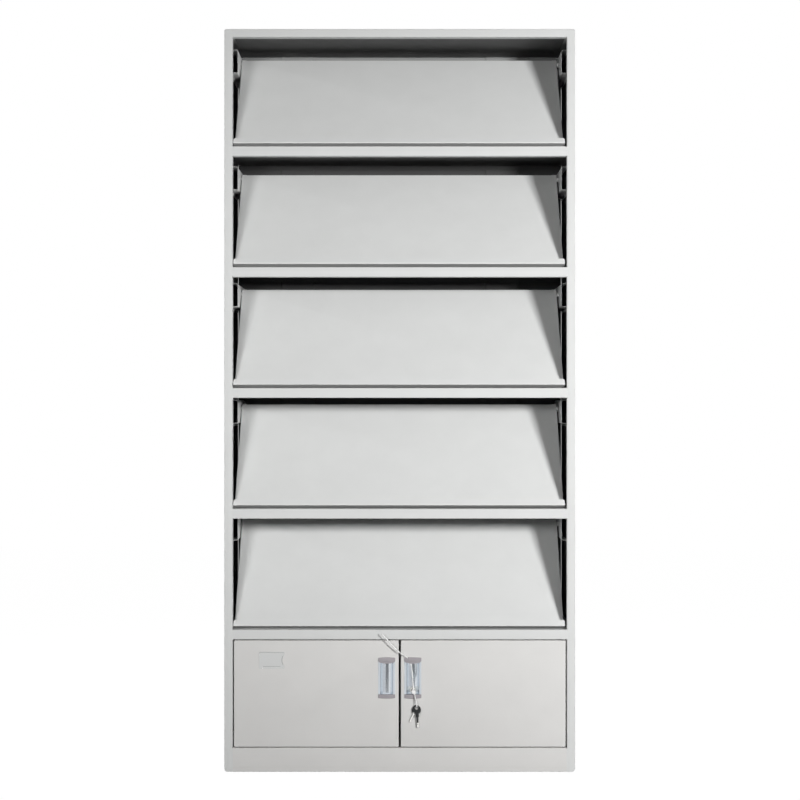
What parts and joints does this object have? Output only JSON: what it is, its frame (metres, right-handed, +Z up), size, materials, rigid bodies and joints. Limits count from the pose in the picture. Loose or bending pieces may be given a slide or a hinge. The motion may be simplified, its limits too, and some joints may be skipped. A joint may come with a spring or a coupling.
{
  "type": "periodical display rack",
  "caption": "Tall sheet-steel rack with sloping, lifting display flaps over shelves, above a low lockable two-door cupboard on a plinth.",
  "frame": {"origin": "on the floor, under the middle of the cabinet", "axes": "+Z up, the front with the flaps and doors faces -Y, +X to the right seen from the front"},
  "size_m": [0.85, 0.4135, 1.8],
  "materials": {
    "powder_coated_steel": "light grey powder coat, satin, on folded sheet steel",
    "white_nylon": "natural white nylon, slightly waxy",
    "zinc_plated_steel": "bright zinc plate",
    "grey_plastic": "moulded mauve-grey plastic, glossy",
    "polished_aluminium": "polished, cool silver",
    "nickel_plate": "nickel plate, polished",
    "black_plastic": "black moulded plastic, satin",
    "label_plastic": "moulded plastic in the cabinet's light grey"
  },
  "bodies": {
    "cabinet": {"side_panel_left": "powder_coated_steel", "side_panel_right": "powder_coated_steel", "back_panel": "powder_coated_steel", "top_panel": "powder_coated_steel", "base_panel": "powder_coated_steel", "shelf_1": "powder_coated_steel", "shelf_2": "powder_coated_steel", "shelf_3": "powder_coated_steel", "shelf_4": "powder_coated_steel", "shelf_5": "powder_coated_steel", "rail_1_left": "powder_coated_steel", "rail_1_right": "powder_coated_steel", "rail_2_left": "powder_coated_steel", "rail_2_right": "powder_coated_steel", "rail_3_left": "powder_coated_steel", "rail_3_right": "powder_coated_steel", "rail_4_left": "powder_coated_steel", "rail_4_right": "powder_coated_steel", "rail_5_left": "powder_coated_steel", "rail_5_right": "powder_coated_steel", "hinge_pin_left_top": "zinc_plated_steel", "hinge_pin_left_bottom": "zinc_plated_steel", "hinge_pin_right_top": "zinc_plated_steel", "hinge_pin_right_bottom": "zinc_plated_steel"},
    "carriage_1": {"pivot_rod_1": "zinc_plated_steel", "bush_1_left": "white_nylon", "bush_1_right": "white_nylon"},
    "flap_1": {"flap_1": "powder_coated_steel"},
    "carriage_2": {"pivot_rod_2": "zinc_plated_steel", "bush_2_left": "white_nylon", "bush_2_right": "white_nylon"},
    "flap_2": {"flap_2": "powder_coated_steel"},
    "carriage_3": {"pivot_rod_3": "zinc_plated_steel", "bush_3_left": "white_nylon", "bush_3_right": "white_nylon"},
    "flap_3": {"flap_3": "powder_coated_steel"},
    "carriage_4": {"pivot_rod_4": "zinc_plated_steel", "bush_4_left": "white_nylon", "bush_4_right": "white_nylon"},
    "flap_4": {"flap_4": "powder_coated_steel"},
    "carriage_5": {"pivot_rod_5": "zinc_plated_steel", "bush_5_left": "white_nylon", "bush_5_right": "white_nylon"},
    "flap_5": {"flap_5": "powder_coated_steel"},
    "door_left": {"door_left": "powder_coated_steel", "handle_housing_left": "grey_plastic", "handle_scoop_left": "polished_aluminium", "label_holder": "label_plastic", "bolt_guide": "zinc_plated_steel"},
    "bolt": {"door_bolt": "zinc_plated_steel"},
    "door_right": {"door_right": "powder_coated_steel", "handle_housing_right": "grey_plastic", "handle_scoop_right": "polished_aluminium", "lock_barrel": "nickel_plate", "key_tie": "white_nylon"},
    "lock": {"lock_plug": "nickel_plate", "lock_cam": "zinc_plated_steel"},
    "key_1": {"key_1": "nickel_plate"},
    "key_2": {"key_2": "black_plastic"}
  },
  "joints": [
    {"name": "flap_1_push_back", "type": "slide", "parent": "cabinet", "child": "carriage_1", "axis": [0, 1, 0], "range_m": [0, 0.094]},
    {"name": "flap_1_lift", "type": "hinge", "parent": "carriage_1", "child": "flap_1", "pos_m": [0, 0.03505, 1.7559], "axis": [-1, 0, 0], "range_deg": [0, 48]},
    {"name": "flap_2_push_back", "type": "slide", "parent": "cabinet", "child": "carriage_2", "axis": [0, 1, 0], "range_m": [0, 0.094]},
    {"name": "flap_2_lift", "type": "hinge", "parent": "carriage_2", "child": "flap_2", "pos_m": [0, 0.03505, 1.4631], "axis": [-1, 0, 0], "range_deg": [0, 48]},
    {"name": "flap_3_push_back", "type": "slide", "parent": "cabinet", "child": "carriage_3", "axis": [0, 1, 0], "range_m": [0, 0.094]},
    {"name": "flap_3_lift", "type": "hinge", "parent": "carriage_3", "child": "flap_3", "pos_m": [0, 0.03505, 1.1703], "axis": [-1, 0, 0], "range_deg": [0, 48]},
    {"name": "flap_4_push_back", "type": "slide", "parent": "cabinet", "child": "carriage_4", "axis": [0, 1, 0], "range_m": [0, 0.094]},
    {"name": "flap_4_lift", "type": "hinge", "parent": "carriage_4", "child": "flap_4", "pos_m": [0, 0.03505, 0.8775], "axis": [-1, 0, 0], "range_deg": [0, 48]},
    {"name": "flap_5_push_back", "type": "slide", "parent": "cabinet", "child": "carriage_5", "axis": [0, 1, 0], "range_m": [0, 0.094]},
    {"name": "flap_5_lift", "type": "hinge", "parent": "carriage_5", "child": "flap_5", "pos_m": [0, 0.03505, 0.5847], "axis": [-1, 0, 0], "range_deg": [0, 48]},
    {"name": "door_left_swing", "type": "hinge", "parent": "cabinet", "child": "door_left", "pos_m": [-0.3955, -0.1895, 0.1894], "axis": [0, 0, -1], "range_deg": [0, 105], "deforming": ["key_tie"]},
    {"name": "door_right_swing", "type": "hinge", "parent": "cabinet", "child": "door_right", "pos_m": [0.3955, -0.1895, 0.1894], "axis": [0, 0, 1], "range_deg": [0, 105]},
    {"name": "bolt_raise", "type": "slide", "parent": "door_left", "child": "bolt", "axis": [0, 0, 1], "range_m": [0, 0.012]},
    {"name": "lock_turn", "type": "hinge", "parent": "door_right", "child": "lock", "pos_m": [0.0317, -0.1855, 0.198], "axis": [0, 1, 0], "range_deg": [0, 90]},
    {"name": "key_1_swing", "type": "hinge", "parent": "door_right", "child": "key_1", "pos_m": [0.04, -0.2013, 0.1568], "axis": [0, 1, 0], "range_deg": [-25, 25]},
    {"name": "key_2_swing", "type": "hinge", "parent": "door_right", "child": "key_2", "pos_m": [0.041, -0.204, 0.1568], "axis": [0, 1, 0], "range_deg": [-25, 25]}
  ]
}
